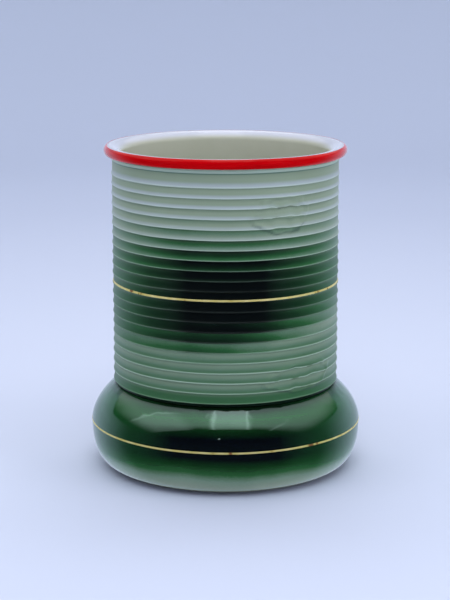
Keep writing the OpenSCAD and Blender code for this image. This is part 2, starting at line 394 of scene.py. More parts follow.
def makeBaseGlaze():
    # the same glaze under a heavier coat: deep bottle green, a near-black belt, pale at the foot,
    # with the hard gloss of a thick glass
    p = basePaint
    material, tree, shader = newMaterial("bottleGreenGlaze", {
        "Roughness": p["roughness"], "IOR": p["ior"], "Specular Tint": linear(p["sheen"])})
    spot = addNode(tree, "TexCoord").outputs["Object"]
    where = addNode(tree, "SeparateXYZ", {0: spot})
    moved = where.outputs["Z"]
    for grain, reach, detail in ((p["drift"], p["driftReach"], 2.0), (p["droplet"], p["dropletReach"], 1.0)):
        cloud = addNode(tree, "TexNoise", {"Vector": spot, "Scale": 1 / (grain * mm), "Detail": detail})
        moved = addNode(tree, "Math", {0: cloud.outputs["Fac"], 1: reach * mm, 2: moved},
            operation="MULTIPLY_ADD")
    aside = addNode(tree, "Math", {0: where.outputs["X"]}, operation="ABSOLUTE")
    level = addNode(tree, "VectorMath", {0: spot, 1: (1.0, 1.0, 0.0)}, operation="MULTIPLY")
    outwards = addNode(tree, "VectorMath", {0: level}, operation="LENGTH").outputs["Value"]
    fromPimple = addNode(tree, "VectorMath", {0: spot, 1: tuple(c * mm for c in p["pimple"])},
        operation="DISTANCE").outputs["Value"]
    follows = {"moved": moved, "aside": aside, "height": where.outputs["Z"], "outwards": outwards,
               "fromPimple": fromPimple}
    fades = {}
    for name, (source, start, end, low, high, shape) in p["fades"].items():
        fades[name] = addNode(tree, "MapRange", {"Value": follows[source], "From Min": start * mm,
            "From Max": end * mm, "To Min": low, "To Max": high}, interpolation_type=shape)
    ramp = addNode(tree, "ValToRGB", {"Fac": fades["climb"]})
    setStops(ramp, p["spray"], "LINEAR")
    colour = layCoats(tree, ramp.outputs["Color"], [
        # painted side light: both sides lighter and greener, as the side lamps light them
        (p["thin"], fades["paintedLitSides"], fades["overFoot"]),
        # painted contact shade: a dark line along the lower edge, where the cup meets the table, and the flat
        # underside stays pale
        (p["bead"], fades["edge"], fades["rounded"])])
    tree.links.new(colour, shader.inputs["Base Color"])
    # it ran and gathered in soft waves around the neck
    peel = addNode(tree, "TexNoise", {"Vector": spot, "Scale": 1 / (p["peel"] * mm), "Detail": 1.0})
    soft = addNode(tree, "Math", {0: peel.outputs["Fac"], 1: fades["waves"], 2: fades["pimple"]},
        operation="MULTIPLY_ADD")
    bump = addNode(tree, "Bump", {"Height": soft, "Distance": p["peelDepth"] * mm, "Strength": 1.0})
    tree.links.new(bump.outputs["Normal"], shader.inputs["Normal"])
    # painted shade: the gloss is turned down close under the sleeve, where the sleeve shades the shoulder
    tree.links.new(fades["shadeUnderSleeve"].outputs["Result"], shader.inputs["Specular IOR Level"])
    return material


whitePaint = {
    "pool": 18.0, "inside": [(0.3, "#B5B7A3"), (0.7, "#C0C2B0")],
    # painted bluish sky light on the top of the roll
    "roll": "#BDC1CC", "rollFrom": 112.3, "rollTo": 114.2,      # mm above the table
    "peel": 1.2, "peelDepth": 0.02, "roughness": 0.12, "ior": 1.5,
}


def makeWhiteGlaze():
    # tin-white glaze: a warm ivory inside, uneven where it pooled, and a painted bluish sky light on the top
    # of the roll
    p = whitePaint
    material, tree, shader = newMaterial("warmWhiteGlaze", {"Roughness": p["roughness"], "IOR": p["ior"]})
    spot = addNode(tree, "TexCoord").outputs["Object"]
    pool = addNode(tree, "TexNoise", {"Vector": spot, "Scale": 1 / (p["pool"] * mm), "Detail": 3.0})
    ramp = addNode(tree, "ValToRGB", {"Fac": pool.outputs["Fac"]})
    setStops(ramp, p["inside"])
    height = addNode(tree, "SeparateXYZ", {0: spot}).outputs["Z"]
    onRoll = addNode(tree, "MapRange", {"Value": height, "From Min": p["rollFrom"] * mm,
        "From Max": p["rollTo"] * mm}, interpolation_type="SMOOTHSTEP")
    colour = layCoats(tree, ramp.outputs["Color"], [(p["roll"], onRoll)])
    tree.links.new(colour, shader.inputs["Base Color"])
    peel = addNode(tree, "TexNoise", {"Vector": spot, "Scale": 1 / (p["peel"] * mm), "Detail": 1.0})
    bump = addNode(tree, "Bump", {"Height": peel.outputs["Fac"], "Distance": p["peelDepth"] * mm})
    tree.links.new(bump.outputs["Normal"], shader.inputs["Normal"])
    return material


enamelPaint = {
    "streak": 14.0, "stretch": 14.0,          # mm between streaks, and how much closer they lie in height
    "reds": [(0.3, "#AC0006"), (0.7, "#C6030B")],
    "streakDepth": 0.03, "roughness": 0.12, "ior": 1.5, "sheen": "#FF9A8C",
}


def makeRedEnamel():
    # selenium red overglaze enamel, brushed on the turning rim: full gloss, slightly streaky
    p = enamelPaint
    material, tree, shader = newMaterial("redOverglazeEnamel", {
        "Roughness": p["roughness"], "IOR": p["ior"], "Specular Tint": linear(p["sheen"])})
    spot = addNode(tree, "TexCoord").outputs["Object"]
    stretched = addNode(tree, "Mapping", {"Vector": spot, "Scale": (1.0, 1.0, p["stretch"])})
    streak = addNode(tree, "TexNoise", {"Vector": stretched, "Scale": 1 / (p["streak"] * mm),
        "Detail": 2.0})
    ramp = addNode(tree, "ValToRGB", {"Fac": streak.outputs["Fac"]})
    setStops(ramp, p["reds"])
    tree.links.new(ramp.outputs["Color"], shader.inputs["Base Color"])
    bump = addNode(tree, "Bump", {"Height": streak.outputs["Fac"], "Distance": p["streakDepth"] * mm})
    tree.links.new(bump.outputs["Normal"], shader.inputs["Normal"])
    return material


goldPaint = {
    "thin": 3.0,                              # mm between thin places
    "golds": [(0.30, "#8A5A34"), (0.37, "#D8C870"), (0.7, "#E8DC98")],
    "gloss": (0.3, 0.5), "metallic": 0.35,    # a film so thin that the glaze shows through
}


def makeGold():
    # bright gold lustre: a film of metal, satin where the brush left it thin
    p = goldPaint
    material, tree, shader = newMaterial("goldLustre", {"Metallic": p["metallic"]})
    spot = addNode(tree, "TexCoord").outputs["Object"]
    thin = addNode(tree, "TexNoise", {"Vector": spot, "Scale": 1 / (p["thin"] * mm), "Detail": 2.0})
    ramp = addNode(tree, "ValToRGB", {"Fac": thin.outputs["Fac"]})
    setStops(ramp, p["golds"], "LINEAR")
    tree.links.new(ramp.outputs["Color"], shader.inputs["Base Color"])
    gloss = addNode(tree, "MapRange", {"Value": thin.outputs["Fac"], "To Min": p["gloss"][0],
        "To Max": p["gloss"][1]})
    tree.links.new(gloss.outputs["Result"], shader.inputs["Roughness"])
    return material


clayPaint = {
    "grain": 0.5, "grainDepth": 0.1,          # mm
    "clays": [(0.3, "#B9AE98"), (0.7, "#D9D0BE")], "roughness": 0.85,
}


def makeBareClay():
    # unglazed earthenware: matte, fine sandy grain, a little dirt in the pores
    p = clayPaint
    material, tree, shader = newMaterial("bareEarthenware", {"Roughness": p["roughness"]})
    spot = addNode(tree, "TexCoord").outputs["Object"]
    grain = addNode(tree, "TexNoise", {"Vector": spot, "Scale": 1 / (p["grain"] * mm), "Detail": 4.0})
    ramp = addNode(tree, "ValToRGB", {"Fac": grain.outputs["Fac"]})
    setStops(ramp, p["clays"])
    tree.links.new(ramp.outputs["Color"], shader.inputs["Base Color"])
    bump = addNode(tree, "Bump", {"Height": grain.outputs["Fac"], "Distance": p["grainDepth"] * mm})
    tree.links.new(bump.outputs["Normal"], shader.inputs["Normal"])
    return material


sleeveGlaze = makeSleeveGlaze()
baseGlaze = makeBaseGlaze()
whiteGlaze = makeWhiteGlaze()
redEnamel = makeRedEnamel()
goldLustre = makeGold()
bareClay = makeBareClay()
print("materials ready")


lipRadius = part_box("ribbed_sleeve")[1].x
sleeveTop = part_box("rim_roll")[0].z
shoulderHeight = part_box("base_bulb")[1].z
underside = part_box("base_bulb")[0].z
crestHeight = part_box("rim_roll")[1].z
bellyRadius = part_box("base_bulb")[1].x
bellyHeight = (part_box("lower_gold_line")[0].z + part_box("lower_gold_line")[1].z) / 2
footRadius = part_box("foot_ring")[1].x
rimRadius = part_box("rim_enamel")[1].x

sleeve = {
    "pitch": 3.5, "depth": 0.36, "step": 0.4, "neck": 1.4, "neckDepth": 1.0, "collar": 1.2,    # mm
    "wall": 3.45,            # mm from the lips to the bore
    "ribs": 22, "segments": 300, "rowsPerRib": 12,
    # places where a thumb smoothed the wet ribs: degrees right of the front, height, half width,
    # half height in mm, and how much of the rib is left
    "smears": [(29, 96, 12, 6.5, 0.35), (42, 39, 17, 5.0, 0.45)],
    "unevenRibs": 0.25,      # share by which a rib's depth wanders
    "lipWander": 0.16, "drag": 1.0,      # mm that a lip wanders, and that a thumb drags it
    "crowding": -0.11,       # how far rows crowd towards the lips
    # how a lip dies away up its rib, and how narrow that flare is at two heights in mm
    "flare": [(0, 1), (0.03, 0.94), (0.07, 0.76), (0.12, 0.50), (0.18, 0.27), (0.26, 0.10),
              (0.40, 0.02), (1, 0)],
    "narrow": (45, 90, 1.5, 0.8),
    # a thumbed place in shares of its half size: its fading edge, the ridge and the painted shade line
    # beneath it
    "thumbEdge": (1.35, 0.85), "thumbRagged": 0.7, "thumbLevel": 0.45,
    "ridge": 1.22, "ridgeHalf": 0.10, "ridgeHeight": 1.2, "ridgeShadeLine": 1.31,
}


def ribbedWallTree(smears):
    # saw-tooth ribs up a tube: each ring flares down to a lip, then steps back in under it.
    # The rows of a grid are bent round the axis; the last rows go down the bore to close the wall.
    tree, given = newTree("ribbedWall", {
        "Lip Radius": "Float", "Bore Radius": "Float", "Rib Depth": "Float", "Rib Pitch": "Float",
        "Lip Step": "Float", "First Lip": "Float", "Shoulder": "Float", "Groove Depth": "Float",
        "Collar Foot": "Float", "Top": "Float", "Ribs": "Int", "Segments": "Int", "Rows": "Int",
        "Uneven": "Float", "Seed": "Float", "Glaze": "Material"})
    lastLine = addNode(tree, "Math", {0: given["Rows"], 1: 2.0}, operation="ADD")
    grid, across, angle, east, north = bendableGrid(tree, given["Segments"], lastLine)
    line = addNode(tree, "Math", {0: across, 1: 0.5}, operation="ADD")
    line = addNode(tree, "Math", {0: line, 1: lastLine}, operation="MULTIPLY")
    line = addNode(tree, "Math", {0: line}, operation="ROUND")
    closing = addNode(tree, "Math", {0: lastLine, 1: 0.5}, operation="SUBTRACT")
    closes = addNode(tree, "Math", {0: line, 1: closing}, operation="LESS_THAN")
    line = addNode(tree, "Math", {0: line, 1: closes}, operation="MULTIPLY")

    # place along the wall, counted in ribs from the lowest lip
    topLine = addNode(tree, "Math", {0: given["Rows"], 1: 1.0}, operation="SUBTRACT")
    inRibs = {}
    for label in ("Shoulder", "Collar Foot", "Top"):
        up = addNode(tree, "Math", {0: given[label], 1: given["First Lip"]}, operation="SUBTRACT")
        inRibs[label] = addNode(tree, "Math", {0: up, 1: given["Rib Pitch"]}, operation="DIVIDE")
    along = addNode(tree, "MapRange", {"Value": line, "From Max": topLine, "To Min": inRibs["Shoulder"],
        "To Max": inRibs["Top"]})
    lastRib = addNode(tree, "Math", {0: given["Ribs"], 1: 1.0}, operation="SUBTRACT")
    rib = addNode(tree, "Math", {0: along}, operation="FLOOR")
    rib = addNode(tree, "Math", {0: rib, 1: lastRib}, operation="MINIMUM")
    even = addNode(tree, "Math", {0: along, 1: rib}, operation="SUBTRACT")
    # rows crowd together at the lips
    wave = addNode(tree, "Math", {0: even, 1: 2 * math.pi}, operation="MULTIPLY")
    wave = addNode(tree, "Math", {0: wave}, operation="SINE")
    phase = addNode(tree, "Math", {0: wave, 1: sleeve["crowding"], 2: even}, operation="MULTIPLY_ADD")
    ribs = addNode(tree, "Math", {0: rib, 1: phase}, operation="ADD")
    height = addNode(tree, "Math", {0: ribs, 1: given["Rib Pitch"], 2: given["First Lip"]},
        operation="MULTIPLY_ADD")

    # how far the wall stands out there: 0 at the root of a rib, 1 at its lip
    stepShare = addNode(tree, "Math", {0: given["Lip Step"], 1: given["Rib Pitch"]}, operation="DIVIDE")
    isLast = addNode(tree, "Math", {0: rib, 1: lastRib, 2: 0.5}, operation="COMPARE")
    collar = addNode(tree, "Math", {0: inRibs["Collar Foot"], 1: lastRib}, operation="SUBTRACT")
    plainStart = addNode(tree, "Math", {0: 1.0, 1: stepShare}, operation="SUBTRACT")
    stepStart = addNode(tree, "Mix", {"Factor": isLast, "A": plainStart, "B": collar})
    stepEnd = addNode(tree, "Math", {0: stepStart, 1: stepShare}, operation="ADD")
    rise = addNode(tree, "MapRange", {"Value": phase, "From Min": stepStart, "From Max": stepEnd},
        interpolation_type="SMOOTHSTEP")
    # the upper ribs flare out over more of their height than the lower ones
    low, high, wide, tight = sleeve["narrow"]
    narrow = addNode(tree, "MapRange", {"Value": height, "From Min": low * mm, "From Max": high * mm,
        "To Min": wide, "To Max": tight})
    flared = addNode(tree, "Math", {0: phase, 1: narrow}, operation="MULTIPLY")
    flare = addNode(tree, "FloatCurve", {"Value": flared})
    curve = flare.mapping.curves[0]
    first, *between, last = sleeve["flare"]
    for point in between:
        curve.points.new(*point)
    curve.points[0].location, curve.points[-1].location = first, last
    flare.mapping.update()
    isBelow = addNode(tree, "Math", {0: along, 1: 0.0}, operation="LESS_THAN")
    extra = addNode(tree, "Math", {0: given["Groove Depth"], 1: given["Rib Depth"]}, operation="DIVIDE")
    ground = addNode(tree, "Math", {0: 1.0, 1: extra}, operation="SUBTRACT")
    ground = addNode(tree, "Math", {0: ground, 1: isBelow}, operation="MULTIPLY")
    climb = addNode(tree, "Mix", {"Factor": rise, "A": ground, "B": 1.0})
    isWall = addNode(tree, "Math", {0: 1.0, 1: isBelow}, operation="SUBTRACT")
    stand = addNode(tree, "Math", {0: flare, 1: isWall, 2: climb}, operation="MULTIPLY_ADD")

    # hand work: ribs of uneven depth, lips that wander, and thumbed places
    south = addNode(tree, "Math", {0: north, 1: -1.0}, operation="MULTIPLY")
    spot = addNode(tree, "CombineXYZ", {"X": east, "Y": south, "Z": rib})
    uneven = addNode(tree, "TexNoise", {"Vector": spot, "W": given["Seed"], "Scale": 1.7, "Detail": 2.0},
        noise_dimensions="4D")
    least = addNode(tree, "Math", {0: 1.0, 1: given["Uneven"]}, operation="SUBTRACT")
    share = addNode(tree, "MapRange", {"Value": uneven.outputs["Fac"], "From Min": 0.25,
        "From Max": 0.75, "To Min": 1.0, "To Max": least})
    depth = addNode(tree, "Math", {0: share, 1: given["Rib Depth"]}, operation="MULTIPLY")
    wander = addNode(tree, "MapRange", {"Value": uneven.outputs["Color"],
        "To Min": -sleeve["lipWander"] * mm, "To Max": sleeve["lipWander"] * mm})
    calm = addNode(tree, "Math", {0: isWall, 1: wander}, operation="MULTIPLY")
    height = addNode(tree, "Math", {0: height, 1: calm}, operation="ADD")
    thumbs, edges = 0.0, 0.0
    for degrees, level, halfWidth, halfHeight, kept in smears:
        aside = addNode(tree, "Math", {0: angle, 1: math.radians(degrees)}, operation="SUBTRACT")
        aside = addNode(tree, "Math", {0: aside, 1: lipRadius / (halfWidth * mm)}, operation="MULTIPLY")
        up = addNode(tree, "Math", {0: height, 1: level * mm}, operation="SUBTRACT")
        up = addNode(tree, "Math", {0: up, 1: 1 / (halfHeight * mm)}, operation="MULTIPLY")
        reachSpot = addNode(tree, "CombineXYZ", {"X": aside, "Y": up})
        ragged = addNode(tree, "TexNoise", {"Vector": reachSpot, "Scale": 1.6, "Detail": 1.0})
        distance = addNode(tree, "VectorMath", {0: reachSpot}, operation="LENGTH")
        reach = addNode(tree, "Math", {0: ragged.outputs["Fac"], 1: sleeve["thumbRagged"],
            2: distance.outputs["Value"]}, operation="MULTIPLY_ADD")
        thumbed = addNode(tree, "MapRange", {"Value": reach, "From Min": sleeve["thumbEdge"][0],
            "From Max": sleeve["thumbEdge"][1], "To Max": 1 - kept}, interpolation_type="SMOOTHSTEP")
        stand = addNode(tree, "Mix", {"Factor": thumbed, "A": stand, "B": sleeve["thumbLevel"]})
        thumbs = addNode(tree, "Math", {0: thumbed, 1: thumbs}, operation="MAXIMUM")
        # clay pushed up into a low ridge along the edge
        nearEdge = addNode(tree, "Math", {0: reach, 1: sleeve["ridge"]}, operation="SUBTRACT")
        nearEdge = addNode(tree, "Math", {0: nearEdge}, operation="ABSOLUTE")
        ridge = addNode(tree, "MapRange", {"Value": nearEdge, "From Min": sleeve["ridgeHalf"],
            "From Max": 0.0, "To Max": sleeve["ridgeHeight"]}, interpolation_type="SMOOTHSTEP")
        stand = addNode(tree, "Math", {0: stand, 1: ridge}, operation="ADD")
        # and a painted shade line beneath that ridge
        nearLine = addNode(tree, "Math", {0: reach, 1: sleeve["ridgeShadeLine"]}, operation="SUBTRACT")
        nearLine = addNode(tree, "Math", {0: nearLine}, operation="ABSOLUTE")
        ridgeShadeLine = addNode(tree, "MapRange", {"Value": nearLine, "From Min": 0.07, "From Max": 0.01})
        lower = addNode(tree, "MapRange", {"Value": up, "From Min": -0.35, "From Max": -0.75,
            "To Max": 0.7})
        ridgeShadeLine = addNode(tree, "Math", {0: ridgeShadeLine, 1: lower}, operation="MULTIPLY")
        edges = addNode(tree, "Math", {0: ridgeShadeLine, 1: edges}, operation="MAXIMUM")
    # dragged clay carries the lips up and down with it
    ripple = addNode(tree, "TexNoise", {"Vector": spot, "W": given["Seed"], "Scale": 6.0, "Detail": 1.0},
        noise_dimensions="4D")
    drag = addNode(tree, "MapRange", {"Value": ripple.outputs["Fac"], "From Min": 0.3, "From Max": 0.7,
        "To Min": -sleeve["drag"] * mm, "To Max": sleeve["drag"] * mm})
    drag = addNode(tree, "Math", {0: drag, 1: thumbs}, operation="MULTIPLY")
    height = addNode(tree, "Math", {0: height, 1: drag}, operation="ADD")

    inset = addNode(tree, "Math", {0: 1.0, 1: stand}, operation="SUBTRACT")
    inset = addNode(tree, "Math", {0: inset, 1: depth}, operation="MULTIPLY")
    outer = addNode(tree, "Math", {0: given["Lip Radius"], 1: inset}, operation="SUBTRACT")
    # the bore: two more lines, top and bottom
    isBore = addNode(tree, "Math", {0: line, 1: topLine}, operation="GREATER_THAN")
    boreTop = addNode(tree, "Math", {0: topLine, 1: 1.5}, operation="ADD")
    isBoreFoot = addNode(tree, "Math", {0: line, 1: boreTop}, operation="GREATER_THAN")
    radius = addNode(tree, "Mix", {"Factor": isBore, "A": outer, "B": given["Bore Radius"]})
    height = addNode(tree, "Mix", {"Factor": isBore, "A": height, "B": given["Top"]})
    height = addNode(tree, "Mix", {"Factor": isBoreFoot, "A": height, "B": given["Shoulder"]})
    # the glaze needs to know where in its rib each point lies, where a thumb went, and where the painted
    # shade line under its ridge lies
    scaled = addNode(tree, "Math", {0: phase, 1: stepEnd}, operation="DIVIDE", use_clamp=True)
    known = addNode(tree, "Mix", {"Factor": isBore, "A": scaled, "B": 0.5})
    for label, value in (("ribPhase", known), ("thumbed", thumbs), ("thumbEdge", edges)):
        grid = addNode(tree, "GeometryNodeStoreNamedAttribute", {"Geometry": grid, "Name": label,
            "Value": value})
    closeTree(tree, bendRound(tree, grid, east, south, radius, height), given["Glaze"])
    return tree


def turnedTree():
    # spins the start mesh's outline once round Z
    tree, given = newTree("turned", {"Spin Radius": "Float", "Segments": "Int", "Glaze": "Material"})
    outline = addNode(tree, "GeometryNodeMeshToCurve", {"Mesh": given["Geometry"]})
    path = addNode(tree, "GeometryNodeCurvePrimitiveCircle", {"Resolution": given["Segments"],
        "Radius": given["Spin Radius"]})
    spun = addNode(tree, "GeometryNodeCurveToMesh", {"Curve": path, "Profile Curve": outline})
    closeTree(tree, spun, given["Glaze"], 2e-6)
    return tree


turned = turnedTree()


def turnPiece(name, outline, material, segments, isClosed=True):
    # outline is [(radius, height)] in metres; an open one starts and ends on the axis
    start = bpy.data.meshes.new(name + "Outline")
    count = len(outline)
    edges = [(i, (i + 1) % count) for i in range(count if isClosed else count - 1)]
    start.from_pydata([(r - lipRadius, -z, 0) for r, z in outline], edges, [])
    return grow(name, turned, {"Spin Radius": lipRadius, "Segments": segments, "Glaze": material}, start)


def softened(points, size, steps=4):
    # rounds each corner of a closed outline with a short arc of that size
    result = []
    for i, corner in enumerate(points):
        corner = Vector(corner)
        before, after = Vector(points[i - 1]), Vector(points[(i + 1) % len(points)])
        a = corner + (before - corner).normalized() * min(size, (before - corner).length / 3)
        b = corner + (after - corner).normalized() * min(size, (after - corner).length / 3)
        for k in range(steps + 1):
            t = k / steps
            result.append(tuple(a.lerp(corner, t).lerp(corner.lerp(b, t), t)))
    return result


boreRadius = lipRadius - sleeve["wall"] * mm
firstLip = shoulderHeight + sleeve["neck"] * mm
sleevePiece = grow("sleeve", ribbedWallTree(sleeve["smears"]), {
    "Lip Radius": lipRadius, "Bore Radius": boreRadius, "Rib Depth": sleeve["depth"] * mm,
    "Rib Pitch": sleeve["pitch"] * mm, "Lip Step": sleeve["step"] * mm, "First Lip": firstLip,
    "Shoulder": shoulderHeight, "Groove Depth": sleeve["neckDepth"] * mm,
    "Collar Foot": sleeveTop - sleeve["collar"] * mm, "Top": sleeveTop, "Ribs": sleeve["ribs"],
    "Segments": sleeve["segments"], "Rows": sleeve["rowsPerRib"] * (sleeve["ribs"] + 1) + 1,
    "Uneven": sleeve["unevenRibs"], "Seed": 4.0, "Glaze": sleeveGlaze})


base = {
    # mm, and the powers of the two curves
    "crownRise": 16.2, "crownTuck": 8.7, "crownPower": 1.66, "bellyPower": 2.33,
    "flatInset": 1.0, "wall": 3.5, "bottom": 4.5, "ledgeWidth": 2.0, "discThickness": 3.0,
    "footWidth": 4.0, "footEdge": 0.35, "chamfer": 0.5,
    "slip": 0.05,            # liquid clay between the floor disc and its seat
    "spigotWall": 1.5,       # what the sleeve's spigot takes of its wall
    "segments": 320, "floorSegments": 160, "footSegments": 220,
}
crownRadius = lipRadius - base["crownTuck"] * mm
flatRadius = lipRadius - base["flatInset"] * mm
neckRadius = lipRadius - sleeve["neckDepth"] * mm
bottomHeight = underside + base["bottom"] * mm
wallDepth = base["wall"] * mm
floorRadius = footRadius - base["footWidth"] * mm


def crown(degrees, inwards=0.0):
    # the curve from the neck (0) out to the widest line (90), or one that far inside it
    a = math.radians(degrees)
    power = 2 / base["crownPower"]
    radius = crownRadius + (bellyRadius - inwards - crownRadius) * math.sin(a) ** power
    return radius, bellyHeight + (base["crownRise"] * mm - inwards) * max(0, math.cos(a)) ** power


def belly(degrees, inwards=0.0):
    # the curve from the widest line (0) down to the flat underside (90)
    a = math.radians(degrees)
    power = 2 / base["bellyPower"]
    low = underside if inwards == 0 else bottomHeight + inwards - wallDepth
    flat = flatRadius if inwards == 0 else flatRadius - wallDepth
    radius = flat + (bellyRadius - inwards - flat) * max(0, math.cos(a)) ** power
    return radius, bellyHeight - (bellyHeight - low) * math.sin(a) ** power


def crownDegrees(radius, inwards=0.0):
    share = (radius - crownRadius) / (bellyRadius - inwards - crownRadius)
    return math.degrees(math.asin(share ** (base["crownPower"] / 2)))


def steps(start, end, count):
    return [start + (end - start) * i / count for i in range(count + 1)]


spigotRadius = boreRadius + base["spigotWall"] * mm
mouthRadius = floorRadius - base["ledgeWidth"] * mm
seatHeight = bottomHeight - base["discThickness"] * mm
neckDegrees = crownDegrees(neckRadius)
mouthDegrees = crownDegrees(spigotRadius, wallDepth)
baseOutline = (
    [(spigotRadius, shoulderHeight)]
    + [crown(a) for a in steps(neckDegrees, 90, 40)]
    + [belly(a) for a in steps(0, 90, 48)[1:]]
    + [(mouthRadius, underside), (mouthRadius, seatHeight), (floorRadius, seatHeight),
       (floorRadius, bottomHeight)]
    + [belly(a, wallDepth) for a in steps(90, 0, 12)]
    + [crown(a, wallDepth) for a in steps(90, mouthDegrees, 12)[1:]])
basePiece = turnPiece("base", baseOutline, baseGlaze, base["segments"])

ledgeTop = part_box("base_floor")[0].z
discRadius = floorRadius - base["slip"] * mm
chamfer = base["chamfer"] * mm
floorOutline = [(0, ledgeTop), (floorRadius - chamfer, ledgeTop), (discRadius, ledgeTop + chamfer),
                (discRadius, bottomHeight), (0, bottomHeight)]
floorPiece = turnPiece("floorDisc", floorOutline, whiteGlaze, base["floorSegments"], isClosed=False)

footOutline = softened([(floorRadius, 0), (footRadius, 0), (footRadius, underside),
                        (floorRadius, underside)], base["footEdge"] * mm)
footPiece = turnPiece("footRing", footOutline, bareClay, base["footSegments"])


rim = {
    "beadHalfWidth": 1.3, "beadHalfHeight": 1.7, "enamel": 0.1, "innerDrop": 3.2,       # mm
    "enamelFrom": -80, "enamelTo": 80,      # degrees round the bead, up from level
    "wander": 5.0,                          # degrees that the brush strayed
    "segments": 300, "across": 36,
}
halfWidth = rim["beadHalfWidth"] * mm
halfHeight = rim["beadHalfHeight"] * mm
beadRadius = rimRadius - rim["enamel"] * mm - halfWidth
beadHeight = crestHeight - halfHeight


def bead(degrees):
    a = math.radians(degrees)
    return beadRadius + halfWidth * math.cos(a), beadHeight + halfHeight * math.sin(a)


def rimInside(degrees, thicker=0.0):
    a = math.radians(degrees)
    drop = rim["innerDrop"] * mm
    reach = beadRadius - boreRadius + thicker
    return beadRadius + reach * math.cos(a), crestHeight - drop + drop * math.sin(a)


rimOutline = ([(boreRadius, sleeveTop), (lipRadius, sleeveTop), (lipRadius, beadHeight - halfHeight * 0.9)]
              + [bead(a) for a in steps(-85, 90, 30)]
              + [rimInside(a) for a in steps(90, 180, 16)[1:]])
rimPiece = turnPiece("rimRoll", rimOutline, whiteGlaze, rim["segments"])


def brushedBandTree():
    # a coat laid over the outside of the bead, thick in the middle, with edges that wander
    tree, given = newTree("brushedBand", {
        "Bead Radius": "Float", "Bead Height": "Float", "Half Width": "Float", "Half Height": "Float",
        "From": "Float", "To": "Float", "Thickness": "Float", "Wander": "Float", "Segments": "Int",
        "Across": "Int", "Seed": "Float", "Enamel": "Material"})
    grid, across, angle, east, north = bendableGrid(tree, given["Segments"], given["Across"])
    swing, lift = overAndUnder(tree, across)
    spot = addNode(tree, "CombineXYZ", {"X": east, "Y": north})
    stray = addNode(tree, "TexNoise", {"Vector": spot, "W": given["Seed"], "Scale": 3.0, "Detail": 3.0},
        noise_dimensions="4D")
    middle = addNode(tree, "Math", {0: given["From"], 1: given["To"]}, operation="ADD")
    middle = addNode(tree, "Math", {0: middle, 1: 0.5}, operation="MULTIPLY")
    half = addNode(tree, "Math", {0: given["To"], 1: middle}, operation="SUBTRACT")
    shy = addNode(tree, "Math", {0: stray.outputs["Fac"], 1: given["Wander"]}, operation="MULTIPLY")
    half = addNode(tree, "Math", {0: half, 1: shy}, operation="SUBTRACT")
    bearing = addNode(tree, "Math", {0: swing, 1: half, 2: middle}, operation="MULTIPLY_ADD")
    thick = addNode(tree, "Math", {0: lift, 1: 0.0}, operation="MAXIMUM")
    thick = addNode(tree, "Math", {0: thick, 1: 0.5}, operation="POWER")
    under = addNode(tree, "Math", {0: lift, 1: 0.0}, operation="MINIMUM")
    coat = addNode(tree, "Math", {0: thick, 1: under}, operation="ADD")
    coat = addNode(tree, "Math", {0: coat, 1: given["Thickness"]}, operation="MULTIPLY")
    out = addNode(tree, "Math", {0: bearing}, operation="COSINE")
    up = addNode(tree, "Math", {0: bearing}, operation="SINE")
    wide = addNode(tree, "Math", {0: given["Half Width"], 1: coat}, operation="ADD")
    tall = addNode(tree, "Math", {0: given["Half Height"], 1: coat}, operation="ADD")
    radius = addNode(tree, "Math", {0: out, 1: wide, 2: given["Bead Radius"]}, operation="MULTIPLY_ADD")
    height = addNode(tree, "Math", {0: up, 1: tall, 2: given["Bead Height"]}, operation="MULTIPLY_ADD")
    closeTree(tree, bendRound(tree, grid, east, north, radius, height), given["Enamel"])
    return tree


enamelPiece = grow("rimEnamel", brushedBandTree(), {
    "Bead Radius": beadRadius, "Bead Height": beadHeight, "Half Width": halfWidth,
    "Half Height": halfHeight, "From": math.radians(rim["enamelFrom"]),
    "To": math.radians(rim["enamelTo"]), "Thickness": rim["enamel"] * mm,
    "Wander": math.radians(rim["wander"]), "Segments": rim["segments"], "Across": rim["across"], "Seed": 2.0,
    "Enamel": redEnamel})


liner = {"thickness": 0.3, "segments": 256}
coat = liner["thickness"] * mm
linerDegrees = crownDegrees(spigotRadius, wallDepth + coat)
wellBottom = bottomHeight + coat
linerOutline = (
    [(0, wellBottom)]
    + [belly(a, wallDepth + coat) for a in steps(90, 0, 24)]
    + [crown(a, wallDepth + coat) for a in steps(90, linerDegrees, 20)[1:]]
    + [(boreRadius - coat, crown(linerDegrees, wallDepth + coat)[1] + coat)]
    + [(boreRadius - coat, z) for z in steps(shoulderHeight, crestHeight - rim["innerDrop"] * mm, 30)]
    + [rimInside(a, coat) for a in steps(180, 90, 24)[1:]]
    + [rimInside(a) for a in steps(90, 180, 12)[1:]]
    + [(boreRadius, crown(mouthDegrees, wallDepth)[1])]
    + [crown(a, wallDepth) for a in steps(mouthDegrees, 90, 12)]
    + [belly(a, wallDepth) for a in steps(0, 90, 12)[1:]]
    + [(0, bottomHeight)])
linerPiece = turnPiece("linerGlaze", linerOutline, whiteGlaze, liner["segments"], isClosed=False)


gold = {
    "width": 0.7, "film": 0.05,          # mm
    "segments": 480, "across": 12,       # faces round the line, and over and under it
    "rib": 11, "rise": 0.6,              # the upper line lies on this rib, that far above its lip
    "sway": 0.10,                        # mm that the brush wandered
    "press": (0.42, 0.52),               # half its width under a light and a heavy brush, in widths
    "edgeFilm": 0.35,                    # share of the film left at its edges
    "wornDip": 1.4,                      # films deep that a worn place dips
    "rayLength": 0.03,                   # m
    "upperWear": [(-62, 3.0), (118, 5.0)],                # degrees right of the front, mm worn away
    "lowerWear": [(-45, 0.8), (22, 2.2), (170, 3.0)],
}


